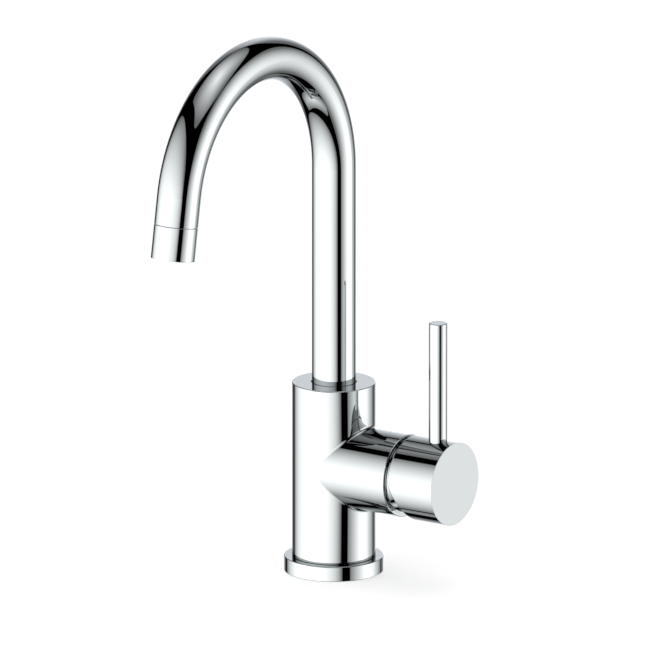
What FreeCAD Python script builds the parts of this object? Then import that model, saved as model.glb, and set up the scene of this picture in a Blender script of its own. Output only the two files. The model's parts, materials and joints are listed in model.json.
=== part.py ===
import FreeCAD, Part
import math
import os

# Single-lever kitchen faucet with a swivelling gooseneck spout.
# Millimetres, +Z up. The origin is on the deck, on the column's axis. The spout points along -Y and the
# handle stands out along +X. Holes for threads are plain, at their tapping size.

V = FreeCAD.Vector
SAME = 1e-6                 # lengths closer than this count as equal

# Column, boss and base ring
COLUMN_RISE = 41.9          # column's top above the handle axis
HANDLE_RISE = 47.25         # handle axis above the base ring
BOSS_REACH = 44.3           # boss's end from the column's axis
BOSS_STEP = 0.15            # boss is slimmer than the column by this, on the radius
BOSS_WALL = 1.75            # brass round the nut's thread
BASE_LIP = 4.0              # base ring's ledge round the column
BASE_H = 7.7
SPIGOT_D = 35.0             # the body's foot inside the base ring
GASKET_INSET = 2.3          # gasket's distance in from the ring's edge
GASKET_W = 2.9
GASKET_T = 1.8
EDGE_ROUND = 0.45           # softened outer edges
FACE_ROUND = 0.1            # crisper edges of the handle cap's face and the outlet
CREASE_ROUND = 1.5          # round where the boss leaves the column
FOOT_GAP = 0.3              # shadow line between the column and the base ring
FOOT_INSET = 1.0

# Water ways in the body
STUD_HOLE_D = 6.8           # M8 for the fixing stud
STUD_HOLE_L = 14.0
HOSE_HOLE_D = 9.0           # M10x1 for a supply hose
HOSE_HOLE_L = 12.0
HOSE_X = 5.0                # hose holes lie in front of the column's axis
WAY_IN_D = 7.0
WAY_OUT_D = 9.0

# Spout
TUBE_D = 22.0
TUBE_WALL = 1.2
RISER = 111.1               # straight tube above the column
BEND_R = 67.35              # on the tube's centre line
BEND_SWEEP = 170.0
TAIL = 14.2                 # straight tube after the bend
TUBE_SEAT = 6.0             # tube's depth in the column
FOOT_L = 16.8
FOOT_WALL = 4.0
FOOT_GRIP = 8.0             # foot's neck inside the tube
FOOT_LIFT = 0.2             # room under the foot
SEAL_CORD = 1.9             # cord of the round seals
SCREW_D = 5.0               # M5 grub screws
SCREW_TIP_D = 3.6
GLIDE_T = 1.2
GLIDE_W = 2.6
GLIDE_DROP = 1.2            # upper glide ring below the column's top
MOUTH_W = 0.4               # open groove round the tube, above the glide ring
UPPER_SEAL_SHARE = 0.225    # places along the foot, from its top, as shares of its length
SCREW_SHARE = 0.425
LOWER_SEAL_SHARE = 0.625
GLIDE_SHARE = 0.85

# Outlet
AERATOR_L = 17.0
SEAM = 0.25                 # fine gap between the tube and the aerator
HOUSING_WALL = 1.05
NIPPLE_WALL = 2.4
NIPPLE_GRIP = 6.0
NIPPLE_L = 7.5
WASHER_T = 1.5
LIP_T = 2.0
LIP_W = 2.2
INSERT_INSET = 0.7          # insert's face above the outlet's rim
SCREEN_T = 0.5
JET_D = 1.5
JET_RINGS = 3
JET_COUNT = 6               # each ring has this many more jets than the one inside it

# Cartridge
CARTRIDGE_D = 34.8
CARTRIDGE_FIT = 0.2
PORT_D = 6.4
INLET_SIDE = 8.0            # inlets stand this far to each side of the axis
INLET_UP = 3.0
OUTLET_DOWN = 8.0
PEG_D = 3.6
PEG_L = 3.0
FLANGE_T = 3.0              # cartridge base's flange
REGISTER_T = 1.5            # cartridge base's step inside the housing
HOUSING_RADIAL = 2.1        # cartridge housing's wall
FIXED_DISC_T = 3.5
MOVING_DISC_T = 2.9
MOVING_DISC_D = 21.6
MIX_POCKET_D = 12.8
MIX_POCKET_T = 1.4
FILM = 0.05                 # water film between the discs
DRIVER_T = 4.3
DRIVER_W = 16.0
GUIDE_FLANGE_T = 3.0
GUIDE_NECK_D = 25.4
GUIDE_NECK_L = 10.4
TOP_WALL_T = 2.6
COLLAR_WALL = 1.65
COLLAR_L = 4.0
NUT_L = 7.3
NUT_STEP = 1.4              # nut's thread outside the cartridge's bore
NUT_INSET = 2.0             # nut's face behind the boss's end
NUT_SLOT_W = 3.0
NUT_SLOT_T = 2.0
PIVOT_INSET = 5.0           # tilt axis behind the boss's end
PIN_D = 3.0
PIN_L = 21.0
BALL_D = 5.2
FINGER_D = 3.8

# Handle
TILT = 20.0                 # lever's travel, from shut to fully open
RELIEF_EXTRA = 2.0          # rim's cut-back past the travel
CAP_GAP = 2.1
CAP_L = 26.7
CAP_RIM_ROUND = 1.2
CAP_WALL = 3.2
CAP_FACE_T = 3.5
DOME_LEDGE = 0.8            # flat edge round the dome
DOME_LIP = 0.3              # flat edge's height above the boss's end
DOME_T = 1.3
DOME_HOLE_ANGLE = 46.0      # from the handle axis to the dome's inner edge
DOME_CLEAR = 0.7            # room between the dome and the cap
STEM_W = 8.0
STEM_BACK = 2.0             # room behind the stem's end
HUB_D = 13.0
HUB_START = 6.5             # hub's inner end past the cap's rim
RIB_W = 15.0
RIB_START = 11.0            # rib's inner end past the cap's rim
ROD_D = 9.2
ROD_SET = 10.1              # rod's axis from the cap's face
ROD_RISE = 81.35            # rod's top above the handle axis
ROD_SINK = 2.5              # rod's foot below the cap's crown
SHANK_D = 6.0
SHANK_L = 8.5
HANDLE_SCREW_L = 8.0
PLUG_D = 4.4
PLUG_L = 4.0
PLUG_PROUD = 0.5

# Fits
RUNNING = 0.06              # turning fits, on the radius
SNUG = 0.05                 # fits that stay put, on the radius
CLEAR = 0.3                 # free space between pieces that pass each other

# Worked-out sizes
tube_r = TUBE_D / 2
tube_in = tube_r - TUBE_WALL
cartridge_r = CARTRIDGE_D / 2
bore_r = cartridge_r + CARTRIDGE_FIT
thread_r = bore_r + NUT_STEP
boss_r = thread_r + BOSS_WALL
body_r = boss_r + BOSS_STEP
base_r = body_r + BASE_LIP
cap_r = body_r
handle_z = BASE_H + HANDLE_RISE
column_top = handle_z + COLUMN_RISE
bend_z = column_top + RISER
lean = 180.0 - BEND_SWEEP

socket_r = tube_r + RUNNING
tube_end_z = column_top - TUBE_SEAT
foot_end_z = tube_end_z - FOOT_L
socket_z = foot_end_z - FOOT_LIFT
foot_bore = tube_r - FOOT_WALL
groove_r = tube_r - SEAL_CORD - SNUG
seal_zs = (tube_end_z - UPPER_SEAL_SHARE * FOOT_L, tube_end_z - LOWER_SEAL_SHARE * FOOT_L)
screw_z = tube_end_z - SCREW_SHARE * FOOT_L
glide_z = tube_end_z - GLIDE_SHARE * FOOT_L
glide_top_z = column_top - GLIDE_DROP

housing_x = FLANGE_T                                # distances from the cartridge's seat
fixed_x = housing_x + REGISTER_T
moving_x = fixed_x + FIXED_DISC_T + FILM
driver_x = moving_x + MOVING_DISC_T
guide_x = driver_x + DRIVER_T + CLEAR
top_x = guide_x + GUIDE_FLANGE_T + CLEAR
shoulder_x = top_x + TOP_WALL_T
nut_face_x = BOSS_REACH - NUT_INSET
seat_x = nut_face_x - NUT_L - shoulder_x            # from here on, distances from the column's axis
pivot_x = BOSS_REACH - PIVOT_INSET
ball_x = seat_x + driver_x + BALL_D / 2 + CLEAR / 2
chamber_r = cartridge_r - HOUSING_RADIAL
neck_r = GUIDE_NECK_D / 2
neck_bore = neck_r + RUNNING
neck_end_x = seat_x + guide_x + GUIDE_FLANGE_T + GUIDE_NECK_L
ports = ((-INLET_SIDE, INLET_UP), (INLET_SIDE, INLET_UP), (0.0, -OUTLET_DOWN))

rim_x = BOSS_REACH + CAP_GAP
cap_end_x = rim_x + CAP_L
cap_in = cap_r - CAP_WALL
floor_x = cap_end_x - CAP_FACE_T
dome_r = math.hypot(thread_r - DOME_LEDGE, PIVOT_INSET)
ball_room = dome_r + DOME_CLEAR
stem_end_x = floor_x - STEM_BACK
rod_x = cap_end_x - ROD_SET
rod_foot_z = handle_z + cap_r - ROD_SINK
stem_half = STEM_W / 2
tilt_cos = math.cos(math.radians(TILT))
tilt_tan = math.tan(math.radians(TILT))
relief_slope = math.tan(math.radians(TILT + RELIEF_EXTRA))


def cyl_x(radius, start, end, y=0.0, up=0.0):
    """Cylinder along X; y and up are measured from the handle axis."""
    return Part.makeCylinder(radius, end - start, V(start, y, handle_z + up), V(1, 0, 0))


def cyl_z(radius, start, end, x=0.0, y=0.0):
    return Part.makeCylinder(radius, end - start, V(x, y, start), V(0, 0, 1))


def ring_x(outer, inner, start, end):
    return cyl_x(outer, start, end).cut(cyl_x(inner, start, end))


def ring_z(outer, inner, start, end):
    return cyl_z(outer, start, end).cut(cyl_z(inner, start, end))


def block(low, high):
    """Box between two corners; heights are measured from the handle axis."""
    size = [b - a for a, b in zip(low, high)]
    return Part.makeBox(size[0], size[1], size[2], V(low[0], low[1], handle_z + low[2]))


def ball(radius, x):
    return Part.makeSphere(radius, V(x, 0, handle_z))


def circle_edges(shape, radius, centre_test):
    """Full or part circles of one radius whose centre passes a test."""
    found = []
    for edge in shape.Edges:
        curve = edge.Curve
        if isinstance(curve, Part.Circle) and abs(curve.Radius - radius) < SAME and centre_test(curve.Center):
            found.append(edge)
    return found


def soften(shape, radius, height, amount):
    """Rounds the circular edges of one radius at one height."""
    return shape.makeFillet(amount, circle_edges(shape, radius, lambda c: abs(c.z - height) < SAME))


def at_outlet(shape):
    """Moves a piece drawn hanging from the origin to the spout's end, on the tube's axis."""
    turn = math.radians(BEND_SWEEP)
    end_y = -BEND_R * (1 - math.cos(turn)) - TAIL * math.sin(turn)
    end_z = bend_z + BEND_R * math.sin(turn) + TAIL * math.cos(turn)
    moved = shape.copy()
    moved.Placement = FreeCAD.Placement(V(0, end_y, end_z), FreeCAD.Rotation(V(1, 0, 0), -lean))
    return moved


def base_ring():
    ring = ring_z(base_r, SPIGOT_D / 2 + SNUG, 0, BASE_H)
    ring = soften(ring, base_r, BASE_H, EDGE_ROUND)
    ring = soften(ring, base_r, 0, EDGE_ROUND)
    groove_out = base_r - GASKET_INSET
    return ring.cut(ring_z(groove_out, groove_out - GASKET_W, 0, GASKET_T))


def deck_gasket():
    outer = base_r - GASKET_INSET - SNUG
    return ring_z(outer, outer - GASKET_W + 2 * SNUG, 0, GASKET_T - SNUG)


def base_seal():
    centre = SPIGOT_D / 2 - SEAL_CORD / 2
    return Part.makeTorus(centre, SEAL_CORD / 2, V(0, 0, BASE_H / 2))


def seal_groove(outer, depth, height):
    half = SEAL_CORD / 2 + SNUG
    return ring_z(outer + CLEAR, outer - depth, height - half, height + half)


def body_casting():
    """Column, boss and foot in one, with the crease between column and boss rounded."""
    column = cyl_z(body_r, BASE_H + FOOT_GAP, column_top)
    casting = column.fuse(cyl_x(boss_r, 0, BOSS_REACH)).removeSplitter()
    crease = [e for e in casting.Edges if not isinstance(e.Curve, (Part.Circle, Part.Line))]
    casting = casting.makeFillet(CREASE_ROUND, crease)
    casting = soften(casting, body_r, column_top, EDGE_ROUND)
    rim = circle_edges(casting, boss_r, lambda c: abs(c.x - BOSS_REACH) < SAME)
    casting = casting.makeFillet(EDGE_ROUND, rim)
    neck = cyl_z(body_r - FOOT_INSET, BASE_H, BASE_H + FOOT_GAP)
    return casting.fuse([neck, cyl_z(SPIGOT_D / 2, 0, BASE_H)]).removeSplitter()


def body_water_ways():
    """Everything drilled out of the casting."""
    inlet_top = handle_z + INLET_UP
    outlet_level = handle_z - OUTLET_DOWN
    cuts = [
        cyl_x(bore_r, seat_x, BOSS_REACH),
        cyl_x(thread_r, seat_x + shoulder_x, BOSS_REACH),
        cyl_z(socket_r, socket_z, column_top),
        cyl_z(socket_r + MOUTH_W, glide_top_z, column_top),
        cyl_z(WAY_OUT_D / 2, outlet_level, socket_z),
        cyl_x(PORT_D / 2, 0, seat_x, 0, -OUTLET_DOWN),
        cyl_z(STUD_HOLE_D / 2, 0, STUD_HOLE_L),
        ring_z(socket_r + GLIDE_T, socket_r, glide_top_z - GLIDE_W, glide_top_z),
        Part.makeCylinder(SCREW_D / 2, body_r, V(0, 0, screw_z), V(0, 1, 0)),
        seal_groove(SPIGOT_D / 2, SEAL_CORD + SNUG, BASE_H / 2),
    ]
    for side in (-1, 1):
        y = side * INLET_SIDE
        cuts.append(cyl_z(HOSE_HOLE_D / 2, 0, HOSE_HOLE_L, HOSE_X, y))
        cuts.append(cyl_z(WAY_IN_D / 2, 0, inlet_top, HOSE_X, y))
        cuts.append(cyl_x(PORT_D / 2, HOSE_X, seat_x, y, INLET_UP))
        cuts.append(cyl_x(PEG_D / 2 + SNUG, seat_x - PEG_L - SNUG, seat_x, y, -OUTLET_DOWN))
    return cuts


def body():
    return body_casting().cut(body_water_ways())


def upper_glide_ring():
    return ring_z(socket_r + GLIDE_T - SNUG, socket_r, glide_top_z - GLIDE_W + SNUG, glide_top_z - SNUG)


def spout_tube():
    riser = ring_z(tube_r, tube_in, tube_end_z, bend_z)
    outer = Part.Wire(Part.makeCircle(tube_r, V(0, 0, bend_z)))
    inner = Part.Wire(Part.makeCircle(tube_in, V(0, 0, bend_z)))
    section = Part.Face(outer).cut(Part.Face(inner)).Faces[0]
    bend = section.revolve(V(0, -BEND_R, bend_z), V(1, 0, 0), BEND_SWEEP)
    tail = at_outlet(ring_z(tube_r, tube_in, 0, TAIL))
    return riser.fuse([bend, tail]).removeSplitter()


def spout_foot():
    foot = cyl_z(tube_r, foot_end_z, tube_end_z)
    foot = foot.fuse(cyl_z(tube_in - SNUG, tube_end_z, tube_end_z + FOOT_GRIP))
    foot = foot.cut(cyl_z(foot_bore, foot_end_z, tube_end_z + FOOT_GRIP))
    for height in seal_zs:
        foot = foot.cut(seal_groove(tube_r, SEAL_CORD + SNUG, height))
    half = SCREW_TIP_D / 2 + CLEAR
    foot = foot.cut(ring_z(tube_r + CLEAR, groove_r, screw_z - half, screw_z + half))
    return foot.cut(ring_z(tube_r + CLEAR, tube_r - GLIDE_T, glide_z - GLIDE_W / 2, glide_z + GLIDE_W / 2))


def spout_seals():
    centre = tube_r - SEAL_CORD / 2
    return Part.makeCompound([Part.makeTorus(centre, SEAL_CORD / 2, V(0, 0, z)) for z in seal_zs])


def lower_glide_ring():
    half = GLIDE_W / 2 - SNUG
    return ring_z(tube_r, tube_r - GLIDE_T + SNUG, glide_z - half, glide_z + half)


def hex_socket(across, depth, centre, direction):
    """Six-sided hole for a key, going in along a direction."""
    radius = across / math.sqrt(3)
    prism = Part.Face(Part.makePolygon([V(radius * math.cos(math.radians(60 * i)),
                                          radius * math.sin(math.radians(60 * i)), 0)
                                        for i in range(7)])).extrude(V(0, 0, depth))
    prism.Placement = FreeCAD.Placement(centre, FreeCAD.Rotation(V(0, 0, 1), direction))
    return prism


def spout_screw():
    """Grub screw in the back of the column; its tip runs in the foot's groove."""
    tip_y = groove_r + CLEAR
    head_y = body_r - 2 * EDGE_ROUND
    shoulder_y = socket_r + CLEAR
    axis = V(0, 1, 0)
    screw = Part.makeCylinder(SCREW_D / 2 - SNUG, head_y - shoulder_y, V(0, shoulder_y, screw_z), axis)
    screw = screw.fuse(Part.makeCylinder(SCREW_TIP_D / 2, shoulder_y - tip_y, V(0, tip_y, screw_z), axis))
    return screw.cut(hex_socket(SCREW_D / 2, SCREW_D / 2, V(0, head_y, screw_z), V(0, -1, 0)))


def outlet_nipple():
    thread = tube_r - HOUSING_WALL - SNUG
    nipple = cyl_z(thread, -NIPPLE_L, 0).fuse(cyl_z(tube_in - SNUG, 0, NIPPLE_GRIP))
    return at_outlet(nipple.cut(cyl_z(thread - NIPPLE_WALL, -NIPPLE_L, NIPPLE_GRIP)))


def aerator_housing():
    sleeve = cyl_z(tube_r, -AERATOR_L, -SEAM)
    sleeve = soften(sleeve, tube_r, -AERATOR_L, FACE_ROUND)
    sleeve = soften(sleeve, tube_r, -SEAM, SEAM)
    bore = tube_r - HOUSING_WALL
    sleeve = sleeve.cut(cyl_z(bore, -AERATOR_L + LIP_T, 0))
    return at_outlet(sleeve.cut(cyl_z(bore - LIP_W, -AERATOR_L, 0)))


def aerator_washer():
    bore = tube_r - HOUSING_WALL
    low = -NIPPLE_L - WASHER_T
    return at_outlet(ring_z(bore - SNUG, bore - SNUG - NIPPLE_WALL, low, -NIPPLE_L))


def jet_holes(radius, low, high):
    """Round holes in rings, each ring one step further out than the last."""
    step = radius / (JET_RINGS + 0.5)
    holes = [cyl_z(JET_D / 2, low, high)]
    for ring in range(1, JET_RINGS + 1):
        count = JET_COUNT * ring
        for i in range(count):
            angle = 2 * math.pi * i / count
            x = ring * step * math.cos(angle)
            holes.append(cyl_z(JET_D / 2, low, high, x, ring * step * math.sin(angle)))
    return holes


def insert_sizes():
    """Flange radius, nose radius and top of the aerator's insert."""
    bore = tube_r - HOUSING_WALL
    return bore - SNUG, bore - LIP_W - SNUG, -NIPPLE_L - WASHER_T


def aerator_insert():
    flange, nose, top = insert_sizes()
    insert = cyl_z(flange, -AERATOR_L + LIP_T, top)
    insert = insert.fuse(cyl_z(nose, -AERATOR_L + INSERT_INSET, -AERATOR_L + LIP_T))
    insert = insert.cut(cyl_z(nose, top - SCREEN_T - SNUG, top))
    return at_outlet(insert.cut(jet_holes(nose, -AERATOR_L, top)))


def aerator_screen():
    flange, nose, top = insert_sizes()
    disc = cyl_z(nose - SNUG, top - SCREEN_T - SNUG, top - SNUG)
    return at_outlet(disc.cut(jet_holes(nose, -AERATOR_L, top)))


def cartridge_base():
    base = cyl_x(cartridge_r, seat_x, seat_x + housing_x)
    base = base.fuse(cyl_x(chamber_r - SNUG, seat_x + housing_x, seat_x + fixed_x))
    for side in (-1, 1):
        base = base.fuse(cyl_x(PEG_D / 2, seat_x - PEG_L, seat_x, side * INLET_SIDE, -OUTLET_DOWN))
    groove_in = PORT_D / 2 + CLEAR
    for y, up in ports:
        base = base.cut(cyl_x(PORT_D / 2, seat_x - PEG_L, seat_x + fixed_x, y, up))
        groove = cyl_x(groove_in + SEAL_CORD + 2 * SNUG, seat_x, seat_x + SEAL_CORD + SNUG, y, up)
        base = base.cut(groove.cut(cyl_x(groove_in, seat_x, seat_x + SEAL_CORD + SNUG, y, up)))
    return base


def port_seals():
    centre = PORT_D / 2 + CLEAR + SNUG + SEAL_CORD / 2
    depth = seat_x + SEAL_CORD / 2
    rings = [Part.makeTorus(centre, SEAL_CORD / 2, V(depth, y, handle_z + up), V(1, 0, 0))
             for y, up in ports]
    return Part.makeCompound(rings)


def fixed_disc():
    disc = cyl_x(chamber_r - SNUG, seat_x + fixed_x, seat_x + fixed_x + FIXED_DISC_T)
    holes = [cyl_x(PORT_D / 2, seat_x + fixed_x, seat_x + moving_x, y, up) for y, up in ports]
    return disc.cut(holes)


def moving_disc():
    disc = cyl_x(MOVING_DISC_D / 2, seat_x + moving_x, seat_x + driver_x)
    low = MIX_POCKET_D / 2 - MOVING_DISC_D / 2 + 2 * CLEAR
    return disc.cut(cyl_x(MIX_POCKET_D / 2, seat_x + moving_x, seat_x + moving_x + MIX_POCKET_T, 0, low))


def disc_driver():
    start = seat_x + driver_x
    end = start + DRIVER_T
    reach = MOVING_DISC_D / 2
    slab = block((start, -DRIVER_W / 2, -reach), (end, DRIVER_W / 2, reach))
    driver = cyl_x(reach, start, end).common(slab)
    half = BALL_D / 2 + CLEAR
    return driver.cut(block((start, -half, -half), (end, half, half)))


def cartridge_housing():
    shell = ring_x(cartridge_r, chamber_r, seat_x + housing_x, seat_x + top_x)
    top = ring_x(cartridge_r, neck_bore, seat_x + top_x, seat_x + shoulder_x)
    collar = ring_x(neck_bore + COLLAR_WALL, neck_bore, seat_x + shoulder_x, seat_x + shoulder_x + COLLAR_L)
    return shell.fuse([top, collar]).removeSplitter()


def guide_seal_x():
    return seat_x + shoulder_x + COLLAR_L / 2


def turn_guide():
    """Turns in the cartridge with the handle and carries the stem on its cross pin."""
    reach = chamber_r - CLEAR
    flange_x = seat_x + guide_x
    guide = cyl_x(reach, flange_x, flange_x + GUIDE_FLANGE_T)
    guide = guide.fuse(cyl_x(neck_r, flange_x + GUIDE_FLANGE_T, neck_end_x))
    rail_x = seat_x + driver_x + CLEAR
    rail_y = DRIVER_W / 2 + CLEAR
    rails = cyl_x(reach, rail_x, flange_x)
    rails = rails.cut(block((rail_x, -rail_y, -reach), (flange_x, rail_y, reach)))
    guide = guide.fuse(rails)
    low = -(stem_half / tilt_cos + (neck_end_x - pivot_x) * tilt_tan + CLEAR)
    high = stem_half / tilt_cos + (pivot_x - flange_x) * tilt_tan + CLEAR
    side = stem_half + CLEAR
    guide = guide.cut(block((flange_x, -side, low), (neck_end_x, side, high)))
    guide = guide.cut(Part.makeCylinder(PIN_D / 2, PIN_L, V(pivot_x, -PIN_L / 2, handle_z), V(0, 1, 0)))
    half = SEAL_CORD / 2 + SNUG
    groove = ring_x(neck_r + CLEAR, neck_r - SEAL_CORD - SNUG, guide_seal_x() - half, guide_seal_x() + half)
    return guide.cut(groove)


def guide_seal():
    return Part.makeTorus(neck_r - SEAL_CORD / 2, SEAL_CORD / 2, V(guide_seal_x(), 0, handle_z), V(1, 0, 0))


def stem_pin():
    return Part.makeCylinder(PIN_D / 2, PIN_L, V(pivot_x, -PIN_L / 2, handle_z), V(0, 1, 0))


def stem():
    """Square bar with a ball-ended finger that pushes the disc driver."""
    bar = block((pivot_x - stem_half, -stem_half, -stem_half), (stem_end_x, stem_half, stem_half))
    bar = bar.fuse(cyl_x(FINGER_D / 2, ball_x, pivot_x)).fuse(ball(BALL_D / 2, ball_x))
    hole = Part.makeCylinder(PIN_D / 2 + RUNNING, STEM_W, V(pivot_x, -stem_half, handle_z), V(0, 1, 0))
    return bar.cut(hole)


def cartridge_nut():
    nut = ring_x(thread_r - SNUG, neck_bore + COLLAR_WALL + CLEAR, seat_x + shoulder_x, nut_face_x)
    for turn in (0, 90):
        slot = block((nut_face_x - NUT_SLOT_T, -NUT_SLOT_W / 2, -thread_r),
                     (nut_face_x, NUT_SLOT_W / 2, thread_r))
        slot.rotate(V(0, 0, handle_z), V(1, 0, 0), turn)
        nut = nut.cut(slot)
    return nut


def trim_dome():
    """Part of a ball round the tilt axis, so that the cap passes over it at any angle."""
    hole = math.radians(DOME_HOLE_ANGLE)
    hole_x = pivot_x + dome_r * math.cos(hole)
    shell = ball(dome_r, pivot_x).cut(ball(dome_r - DOME_T, pivot_x))
    dome = shell.common(cyl_x(dome_r, BOSS_REACH, hole_x))
    dome = dome.cut(cyl_x((dome_r - DOME_T) * math.sin(hole), pivot_x, pivot_x + dome_r))
    mouth_r = math.sqrt((dome_r - DOME_T) ** 2 - (BOSS_REACH - pivot_x) ** 2)
    skirt = ring_x(thread_r - SNUG, mouth_r, nut_face_x, BOSS_REACH + DOME_LIP)
    return dome.fuse(skirt).removeSplitter()


def cap_relief():
    """Wedge that cuts the cap's rim back below the axis, to let the cap tilt."""
    low = handle_z - 2 * cap_r
    points = [V(rim_x, -2 * cap_r, handle_z),
              V(rim_x + 2 * cap_r * relief_slope, -2 * cap_r, low),
              V(rim_x - cap_r, -2 * cap_r, low),
              V(rim_x - cap_r, -2 * cap_r, handle_z)]
    return Part.Face(Part.makePolygon(points + points[:1])).extrude(V(0, 4 * cap_r, 0))


def handle_cap():
    outside = cyl_x(cap_r, rim_x, cap_end_x).cut(cap_relief())
    face_edge = circle_edges(outside, cap_r, lambda c: abs(c.x - cap_end_x) < SAME)
    outside = outside.makeFillet(FACE_ROUND, face_edge)
    rim_edges = [e for e in outside.Edges
                 if not isinstance(e.Curve, Part.Line) and e.BoundBox.XMin < cap_end_x - CAP_FACE_T]
    outside = outside.makeFillet(CAP_RIM_ROUND, rim_edges)
    room = ball(ball_room, pivot_x)
    hollow = cyl_x(cap_in, rim_x, floor_x).fuse(room)
    rib = block((rim_x + RIB_START, -RIB_W / 2, -cap_in), (floor_x, RIB_W / 2, cap_in)).cut(room)
    hub = cyl_x(HUB_D / 2, rim_x + HUB_START, floor_x)
    cap = outside.cut(hollow.cut(rib).cut(hub))
    socket = stem_half + SNUG
    cap = cap.cut(block((rim_x, -socket, -socket), (stem_end_x + SNUG, socket, socket)))
    cap = cap.cut(cyl_z(ROD_D / 2 + SNUG, rod_foot_z, handle_z + cap_r, rod_x))
    cap = cap.cut(cyl_z(SHANK_D / 2 + SNUG, handle_z, rod_foot_z, rod_x))
    return cap.cut(cyl_z(SCREW_D / 2, handle_z - cap_r, handle_z, rod_x))


def lever_rod():
    rod = cyl_z(ROD_D / 2, rod_foot_z, handle_z + ROD_RISE, rod_x)
    rod = soften(rod, ROD_D / 2, handle_z + ROD_RISE, EDGE_ROUND)
    return rod.fuse(cyl_z(SHANK_D / 2, rod_foot_z - SHANK_L, rod_foot_z, rod_x))


def handle_screw():
    top = handle_z - stem_half
    low = top - HANDLE_SCREW_L
    screw = cyl_z(SCREW_D / 2 - SNUG, low, top, rod_x)
    return screw.cut(hex_socket(SCREW_D / 2, SCREW_D / 2, V(rod_x, 0, low), V(0, 0, 1)))


def set_screw_plug():
    """Closes the screw's hole under the cap and stands a little proud of it."""
    low = handle_z - cap_r - PLUG_PROUD
    head = cyl_z(PLUG_D / 2, low, low + PLUG_L, rod_x)
    head = soften(head, PLUG_D / 2, low, EDGE_ROUND)
    return head.fuse(cyl_z(SCREW_D / 2 - SNUG, low + PLUG_PROUD + EDGE_ROUND, low + PLUG_L, rod_x))


PIECES = [
    base_ring, deck_gasket, base_seal, body, upper_glide_ring, spout_screw,
    spout_tube, spout_foot, spout_seals, lower_glide_ring,
    outlet_nipple, aerator_housing, aerator_washer, aerator_insert, aerator_screen,
    cartridge_base, port_seals, fixed_disc, moving_disc, disc_driver, cartridge_housing,
    turn_guide, guide_seal, stem_pin, stem, cartridge_nut, trim_dome,
    handle_cap, lever_rod, handle_screw, set_screw_plug,
]


def main():
    os.makedirs("parts", exist_ok=True)
    for make in PIECES:
        shape = make()
        shape.exportStep("parts/" + make.__name__ + ".step")


main()
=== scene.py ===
import json
import math

import bmesh
import bpy
from mathutils import Matrix, Vector

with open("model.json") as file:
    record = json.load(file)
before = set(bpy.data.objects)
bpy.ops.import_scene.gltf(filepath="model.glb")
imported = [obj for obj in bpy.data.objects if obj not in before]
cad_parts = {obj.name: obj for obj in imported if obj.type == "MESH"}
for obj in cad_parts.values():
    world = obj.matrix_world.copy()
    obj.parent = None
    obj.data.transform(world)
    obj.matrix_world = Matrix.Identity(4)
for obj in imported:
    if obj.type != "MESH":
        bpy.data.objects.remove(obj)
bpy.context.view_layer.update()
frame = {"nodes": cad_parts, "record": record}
nodes = frame["nodes"]

MM = 0.001
WHITE = (1.0, 1.0, 1.0)


# Node helpers

def new_tree(owner):
    owner.use_nodes = True
    tree = owner.node_tree
    tree.nodes.clear()
    return tree


def feed(tree, socket, value):
    """Sets a socket to a plain value, or links it to another node's output."""
    if isinstance(value, bpy.types.NodeSocket):
        tree.links.new(value, socket)
    else:
        socket.default_value = value


def feed_all(tree, made, sockets):
    """Feeds a node's inputs by their names; an underscore in a name stands for a space."""
    for name, value in sockets.items():
        feed(tree, made.inputs[name.replace("_", " ")], value)


def node(tree, kind, **sockets):
    made = tree.nodes.new(kind)
    feed_all(tree, made, sockets)
    return made


def calc(tree, operation, *values, clamp=False):
    made = tree.nodes.new("ShaderNodeMath")
    made.operation = operation
    made.use_clamp = clamp
    for socket, value in zip(made.inputs, values):
        feed(tree, socket, value)
    return made.outputs[0]


def dot(tree, first, second):
    made = tree.nodes.new("ShaderNodeVectorMath")
    made.operation = "DOT_PRODUCT"
    tree.links.new(first, made.inputs[0])
    tree.links.new(second, made.inputs[1])
    return made.outputs["Value"]


def new_group(name, inputs, outputs):
    """An empty shader node group with the given sockets, its input sockets and its output sockets."""
    group = bpy.data.node_groups.new(name, "ShaderNodeTree")
    for way, sockets in (("INPUT", inputs), ("OUTPUT", outputs)):
        for kind, names in sockets.items():
            for socket in names:
                group.interface.new_socket(socket, in_out=way, socket_type="NodeSocket" + kind)
    return group, group.nodes.new("NodeGroupInput").outputs, group.nodes.new("NodeGroupOutput").inputs


def place(tree, group, **sockets):
    """Puts a node group into a tree and gives back its outputs."""
    made = tree.nodes.new("ShaderNodeGroup")
    made.node_tree = group
    feed_all(tree, made, sockets)
    return made.outputs


def opaque(colour):
    return (*colour, 1.0)


def colour_between(tree, mask, first, second):
    mix = tree.nodes.new("ShaderNodeMix")
    mix.data_type = "RGBA"
    tree.links.new(mask, mix.inputs["Factor"])
    for socket, colour in zip([s for s in mix.inputs if s.type == "RGBA"], (first, second)):
        socket.default_value = opaque(colour)
    return next(s for s in mix.outputs if s.type == "RGBA")


# Studio: softboxes that light the scene, and that the camera sees only in the chrome

VIEW_AZIMUTH = 34.88
VIEW_ELEVATION = 14.6
DISPLAY_GAMMA = 2.2         # levels are written as they look on a screen
STUDIO_GAIN = 1.96          # light of a panel at level 1
BACK_TINT = (0.985, 0.992, 1.025)
BEHIND = 0.02               # cosine below which a direction misses a panel
GLOW_ROUNDNESS = 1.7
CORNER_ROUNDNESS = 5.0
RIM_SOFTNESS = 0.04         # width of the soft rim, as a share of the panel's half size
ON_THE_RIM = 0.5            # share of the level that is left in the middle of the rim
EDGE_LEVEL = 0.4            # the least that a level falls to inside the rim

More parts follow.
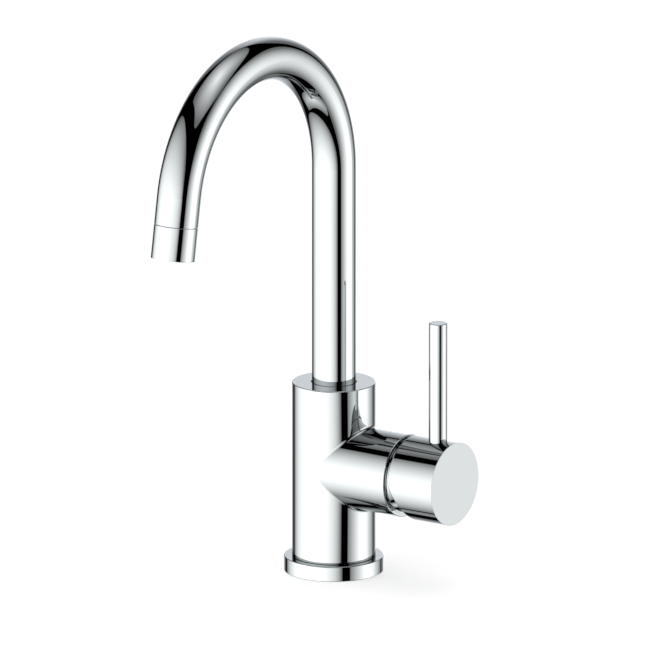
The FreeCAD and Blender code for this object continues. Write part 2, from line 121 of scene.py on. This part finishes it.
# aim in degrees, with the azimuth counted from the camera's; half the width and height at one metre;
# fall of the level per metre across and upward; level in the middle
SOFTBOXES = {
    "key": dict(aim=(-60, -10), half=(4.5, 1.7), fall=(0.15, 0.4), middle=1.15),
    "side": dict(aim=(87, -10), half=(1.1, 1.2), fall=(0.6, 0.6), middle=1.15),
    "back": dict(aim=(175, -5), half=(0.7, 1.0), fall=(1.2, 0.5), middle=1.05),
    "overhead": dict(aim=(125, 85), half=(1.0, 0.6), fall=(0.5, 0.8), middle=0.95),
    "below": dict(aim=(45, -90), half=(0.2, 0.7), fall=(2.0, 0.5), middle=0.9),
}


def rounded_sum(tree, values, roundness):
    """Joins distances across and upward: 2 gives a circle, more than that a square with rounded corners."""
    powers = [calc(tree, "POWER", value, roundness) for value in values]
    return calc(tree, "POWER", calc(tree, "ADD", *powers), 1.0 / roundness)


def softbox_group():
    """One flat panel of light: bright in its middle, greyer to its edges, dark outside."""
    group, given, result = new_group(
        "softbox",
        {"Vector": ("Direction", "Facing", "Across", "Upward", "Half Size", "Fall"),
         "Float": ("Middle Level",)},
        {"Float": ("Level",)})
    ahead = dot(group, given["Direction"], given["Facing"])
    depth = calc(group, "MAXIMUM", ahead, BEHIND)
    halves = node(group, "ShaderNodeSeparateXYZ", Vector=given["Half Size"]).outputs
    slopes = node(group, "ShaderNodeSeparateXYZ", Vector=given["Fall"]).outputs
    shares, falls = [], []
    for index, axis in enumerate(("Across", "Upward")):
        spot = calc(group, "DIVIDE", dot(group, given["Direction"], given[axis]), depth)
        off_middle = calc(group, "ABSOLUTE", spot)
        shares.append(calc(group, "DIVIDE", off_middle, halves[index]))
        falls.append(calc(group, "MULTIPLY", off_middle, slopes[index]))
    drop = rounded_sum(group, falls, GLOW_ROUNDNESS)
    level = calc(group, "MAXIMUM", calc(group, "SUBTRACT", given["Middle Level"], drop), EDGE_LEVEL)
    inside = calc(group, "SUBTRACT", 1.0, rounded_sum(group, shares, CORNER_ROUNDNESS))
    rim = calc(group, "MULTIPLY_ADD", inside, 1.0 / RIM_SOFTNESS, ON_THE_RIM, clamp=True)
    facing = calc(group, "GREATER_THAN", ahead, BEHIND)
    group.links.new(calc(group, "MULTIPLY", calc(group, "MULTIPLY", level, rim), facing), result["Level"])
    return group


def directions(azimuth, elevation):
    """Outward, rightward and upward directions of what looks at the faucet from an azimuth and elevation."""
    turn, lift = math.radians(azimuth), math.radians(elevation)
    outward = Vector((math.sin(turn) * math.cos(lift), -math.cos(turn) * math.cos(lift), math.sin(lift)))
    right = Vector((math.cos(turn), math.sin(turn), 0.0))
    return outward, right, outward.cross(right)


def build_studio():
    world = bpy.data.worlds.new("studio")
    bpy.context.scene.world = world
    tree = new_tree(world)
    group = softbox_group()
    direction = tree.nodes.new("ShaderNodeTexCoord").outputs["Generated"]
    levels = {}
    brightest = 0.0
    for name, panel in SOFTBOXES.items():
        azimuth, elevation = panel["aim"]
        facing, across, upward = directions(VIEW_AZIMUTH + azimuth, elevation)
        levels[name] = place(
            tree, group, Direction=direction, Facing=facing, Across=across, Upward=upward,
            Half_Size=(*panel["half"], 0.0), Fall=(*panel["fall"], 0.0),
            Middle_Level=panel["middle"])["Level"]
        brightest = calc(tree, "MAXIMUM", brightest, levels[name])
    light = calc(tree, "MULTIPLY", calc(tree, "POWER", brightest, DISPLAY_GAMMA), STUDIO_GAIN)
    on_back = calc(tree, "GREATER_THAN", levels["back"], 0.0)
    studio = node(tree, "ShaderNodeBackground", Strength=light,
                  Color=colour_between(tree, on_back, WHITE, BACK_TINT))
    backdrop = node(tree, "ShaderNodeBackground", Strength=1.0, Color=opaque(WHITE))
    mix = tree.nodes.new("ShaderNodeMixShader")
    tree.links.new(tree.nodes.new("ShaderNodeLightPath").outputs["Is Camera Ray"], mix.inputs[0])
    tree.links.new(studio.outputs[0], mix.inputs[1])
    tree.links.new(backdrop.outputs[0], mix.inputs[2])
    tree.links.new(mix.outputs[0], tree.nodes.new("ShaderNodeOutputWorld").inputs["Surface"])


# Floor

FLOOR_HALF = 6.0
FLOOR_PAINT = (0.8, 0.8, 0.8)
FLOOR_GLOW = 0.6            # added for the camera alone, so that the floor looks white
FLOOR_DROP = 0.05 * MM      # keeps the floor's face apart from the faucet's underside


def build_floor():
    mesh = bpy.data.meshes.new("floor")
    shape = bmesh.new()
    bmesh.ops.create_grid(shape, x_segments=1, y_segments=1, size=FLOOR_HALF,
                          matrix=Matrix.Translation((0.0, 0.0, -FLOOR_DROP)))
    shape.to_mesh(mesh)
    shape.free()
    floor = bpy.data.objects.new("floor", mesh)
    bpy.context.scene.collection.objects.link(floor)
    # the softbox below takes the floor's place in reflections
    floor.visible_glossy = False
    material = bpy.data.materials.new("pale_floor")
    tree = new_tree(material)
    paint = node(tree, "ShaderNodeBsdfDiffuse", Color=opaque(FLOOR_PAINT))
    seen = tree.nodes.new("ShaderNodeLightPath").outputs["Is Camera Ray"]
    glow = node(tree, "ShaderNodeEmission", Color=opaque(WHITE),
                Strength=calc(tree, "MULTIPLY", seen, FLOOR_GLOW))
    both = tree.nodes.new("ShaderNodeAddShader")
    tree.links.new(paint.outputs[0], both.inputs[0])
    tree.links.new(glow.outputs[0], both.inputs[1])
    tree.links.new(both.outputs[0], tree.nodes.new("ShaderNodeOutputMaterial").inputs["Surface"])
    mesh.materials.append(material)


# Camera

IMAGE = 645                 # pixels across and down
PIXELS_PER_MM = 2.005
DECK_CENTRE_PIXEL = (333.9, 569.1)
LENS, SENSOR = 1600.0, 36.0
CLIP_START, CLIP_END = 1.0, 40.0


def build_camera():
    frame_width = IMAGE / PIXELS_PER_MM * MM
    back, right, up = directions(VIEW_AZIMUTH, VIEW_ELEVATION)
    aside = (IMAGE / 2 - DECK_CENTRE_PIXEL[0]) / PIXELS_PER_MM * MM
    above = (DECK_CENTRE_PIXEL[1] - IMAGE / 2) / PIXELS_PER_MM * MM
    data = bpy.data.cameras.new("photo_camera")
    data.lens = LENS
    data.sensor_width = SENSOR
    data.clip_start = CLIP_START
    data.clip_end = CLIP_END
    camera = bpy.data.objects.new("photo_camera", data)
    bpy.context.scene.collection.objects.link(camera)
    camera.location = right * aside + up * above + back * (frame_width * LENS / SENSOR)
    camera.rotation_mode = "QUATERNION"
    camera.rotation_quaternion = (-back).to_track_quat("-Z", "Y")
    bpy.context.scene.camera = camera


# Effects that the finishes share

CLOUD_DETAIL, CLOUD_ROUGHNESS = 3.0, 0.55
MOTTLE_FINENESS, MOTTLE_DETAIL = 11.0, 2.0
MOTTLE_SHARE = 0.3
NOISE_SPAN = (0.32, 0.68)   # part of the noise's range that is spread over the whole
GRAIN_DETAIL, GRAIN_ROUGHNESS = 4.0, 0.6
FLECK_FINENESS = 0.4        # against the grain's
FLECK_REACH = (0.12, 0.3)   # where a fleck starts to fade, and where it ends
WOBBLE_SCALE, WOBBLE_DETAIL = 140.0, 2.0
MID_HEIGHT = 0.5


def haze_group():
    """Slow, cloudy change over a surface, from wiping and polishing, with finer mottling in it."""
    group, given, result = new_group(
        "wiping_haze",
        {"Vector": ("Position",), "Float": ("Cloud Size", "Lowest", "Highest")},
        {"Float": ("Value",)})
    scale = calc(group, "DIVIDE", 1.0, given["Cloud Size"])
    clouds = node(group, "ShaderNodeTexNoise", Vector=given["Position"], Scale=scale,
                  Detail=CLOUD_DETAIL, Roughness=CLOUD_ROUGHNESS)
    mottle = node(group, "ShaderNodeTexNoise", Vector=given["Position"], Detail=MOTTLE_DETAIL,
                  Scale=calc(group, "MULTIPLY", scale, MOTTLE_FINENESS))
    cloud_part = calc(group, "MULTIPLY", clouds.outputs["Fac"], 1.0 - MOTTLE_SHARE)
    mixed = calc(group, "MULTIPLY_ADD", mottle.outputs["Fac"], MOTTLE_SHARE, cloud_part)
    low, high = NOISE_SPAN
    spread = node(group, "ShaderNodeMapRange", Value=mixed, From_Min=low, From_Max=high,
                  To_Min=given["Lowest"], To_Max=given["Highest"])
    group.links.new(spread.outputs["Result"], result["Value"])
    return group


def grain_group():
    """Fine grain of a moulded or cast surface: a height for the bump and a mask for the colour."""
    group, given, result = new_group(
        "moulded_grain",
        {"Vector": ("Position",), "Float": ("Grain Size",)},
        {"Float": ("Height", "Speckle")})
    scale = calc(group, "DIVIDE", 1.0, given["Grain Size"])
    bumps = node(group, "ShaderNodeTexNoise", Vector=given["Position"], Scale=scale,
                 Detail=GRAIN_DETAIL, Roughness=GRAIN_ROUGHNESS)
    cells = node(group, "ShaderNodeTexVoronoi", Vector=given["Position"],
                 Scale=calc(group, "MULTIPLY", scale, FLECK_FINENESS))
    fading, gone = FLECK_REACH
    speckle = node(group, "ShaderNodeMapRange", Value=cells.outputs["Distance"],
                   From_Min=fading, From_Max=gone, To_Min=1.0, To_Max=0.0)
    group.links.new(bumps.outputs["Fac"], result["Height"])
    group.links.new(speckle.outputs["Result"], result["Speckle"])
    return group


def turning_group():
    """Fine rings that a lathe tool leaves round an axis, a little uneven in depth."""
    group, given, result = new_group(
        "turning_rings", {"Vector": ("Position",), "Float": ("Pitch",)}, {"Float": ("Height",)})
    wobble = node(group, "ShaderNodeTexNoise", Vector=given["Position"],
                  Scale=WOBBLE_SCALE, Detail=WOBBLE_DETAIL)
    apart = node(group, "ShaderNodeSeparateXYZ", Vector=given["Position"]).outputs
    squares = [calc(group, "MULTIPLY", apart[axis], apart[axis]) for axis in ("X", "Y")]
    radius = calc(group, "SQRT", calc(group, "ADD", *squares))
    rings = calc(group, "DIVIDE", calc(group, "ADD", radius, apart["Z"]), given["Pitch"])
    wave = calc(group, "SINE", calc(group, "MULTIPLY", rings, math.tau))
    depth = calc(group, "MULTIPLY", wave, wobble.outputs["Fac"])
    group.links.new(calc(group, "MULTIPLY_ADD", depth, MID_HEIGHT, MID_HEIGHT), result["Height"])
    return group


HAZE = haze_group()
GRAIN = grain_group()
TURNING = turning_group()


# Finishes

CHROME_DULL = (0.484, 0.507, 0.512)
CHROME_BRIGHT = (0.492, 0.512, 0.516)
CHROME_RIM_TINT = (0.74, 0.76, 0.77)
CHROME_FILM = 22 * MM
CHROME_SMEAR = 9 * MM
CHROME_ROUGHNESS = (0.006, 0.016)
RIPPLE_SCALE, RIPPLE_DETAIL = 170.0, 1.0
RIPPLE_DEPTH = 0.0008 * MM
TURNED_FILM = 6 * MM
TURNED_SMEAR = 3 * MM
TURNED_DEPTH = 0.004 * MM
MOULDED_SMEAR = 4 * MM


def new_finish(name, metallic):
    """A material with a Principled shader, and the coordinates that its patterns follow."""
    material = bpy.data.materials.new(name)
    tree = new_tree(material)
    shader = node(tree, "ShaderNodeBsdfPrincipled", Metallic=metallic)
    tree.links.new(shader.outputs[0], tree.nodes.new("ShaderNodeOutputMaterial").inputs["Surface"])
    return material, tree, shader, tree.nodes.new("ShaderNodeTexCoord").outputs["Object"]


def add_film(tree, shader, position, size, dark, bright):
    film = place(tree, HAZE, Position=position, Cloud_Size=size, Lowest=0.0, Highest=1.0)["Value"]
    tree.links.new(colour_between(tree, film, dark, bright), shader.inputs["Base Color"])


def add_smears(tree, shader, position, size, roughness):
    smooth, rough = roughness
    smears = place(tree, HAZE, Position=position, Cloud_Size=size, Lowest=smooth, Highest=rough)["Value"]
    tree.links.new(smears, shader.inputs["Roughness"])


def add_bump(tree, shader, height, depth):
    bump = node(tree, "ShaderNodeBump", Height=height, Distance=depth, Strength=1.0)
    tree.links.new(bump.outputs["Normal"], shader.inputs["Normal"])


def polished_chrome():
    material, tree, shader, position = new_finish("polished_chrome", metallic=1.0)
    shader.inputs["Specular Tint"].default_value = opaque(CHROME_RIM_TINT)
    add_film(tree, shader, position, CHROME_FILM, CHROME_DULL, CHROME_BRIGHT)
    add_smears(tree, shader, position, CHROME_SMEAR, CHROME_ROUGHNESS)
    ripple = node(tree, "ShaderNodeTexNoise", Vector=position, Scale=RIPPLE_SCALE, Detail=RIPPLE_DETAIL)
    add_bump(tree, shader, ripple.outputs["Fac"], RIPPLE_DEPTH)
    return material


def turned_metal(name, dark, bright, roughness, pitch):
    material, tree, shader, position = new_finish(name, metallic=1.0)
    add_film(tree, shader, position, TURNED_FILM, dark, bright)
    add_smears(tree, shader, position, TURNED_SMEAR, roughness)
    rings = place(tree, TURNING, Position=position, Pitch=pitch)["Height"]
    add_bump(tree, shader, rings, TURNED_DEPTH)
    return material


def moulded(name, base, fleck, roughness, grain, depth):
    material, tree, shader, position = new_finish(name, metallic=0.0)
    skin = place(tree, GRAIN, Position=position, Grain_Size=grain)
    tree.links.new(colour_between(tree, skin["Speckle"], base, fleck), shader.inputs["Base Color"])
    add_smears(tree, shader, position, MOULDED_SMEAR, roughness)
    add_bump(tree, shader, skin["Height"], depth)
    return material


FINISHES = {
    "chrome": polished_chrome(),
    "brass": turned_metal(
        "turned_brass", dark=(0.66, 0.47, 0.20), bright=(0.80, 0.60, 0.29),
        roughness=(0.22, 0.34), pitch=0.25 * MM),
    "steel": turned_metal(
        "stainless_steel", dark=(0.50, 0.50, 0.51), bright=(0.62, 0.62, 0.63),
        roughness=(0.24, 0.36), pitch=0.18 * MM),
    "rubber": moulded(
        "seal_rubber", base=(0.020, 0.020, 0.021), fleck=(0.034, 0.034, 0.035),
        roughness=(0.55, 0.75), grain=0.35 * MM, depth=0.02 * MM),
    "white_plastic": moulded(
        "white_acetal", base=(0.80, 0.80, 0.78), fleck=(0.84, 0.84, 0.82),
        roughness=(0.32, 0.45), grain=0.5 * MM, depth=0.006 * MM),
    "grey_plastic": moulded(
        "glass_filled_plastic", base=(0.31, 0.32, 0.34), fleck=(0.40, 0.41, 0.43),
        roughness=(0.42, 0.58), grain=0.4 * MM, depth=0.010 * MM),
    "ceramic": moulded(
        "lapped_ceramic", base=(0.86, 0.85, 0.82), fleck=(0.90, 0.89, 0.87),
        roughness=(0.07, 0.14), grain=0.25 * MM, depth=0.001 * MM),
}


# Dressing the pieces

bpy.context.scene.view_settings.view_transform = "Standard"
build_studio()
build_floor()
build_camera()
for part in frame["record"]["subparts"]:
    mesh = nodes[part["node"]].data
    mesh.materials.clear()
    mesh.materials.append(FINISHES[part["material_slot"]])
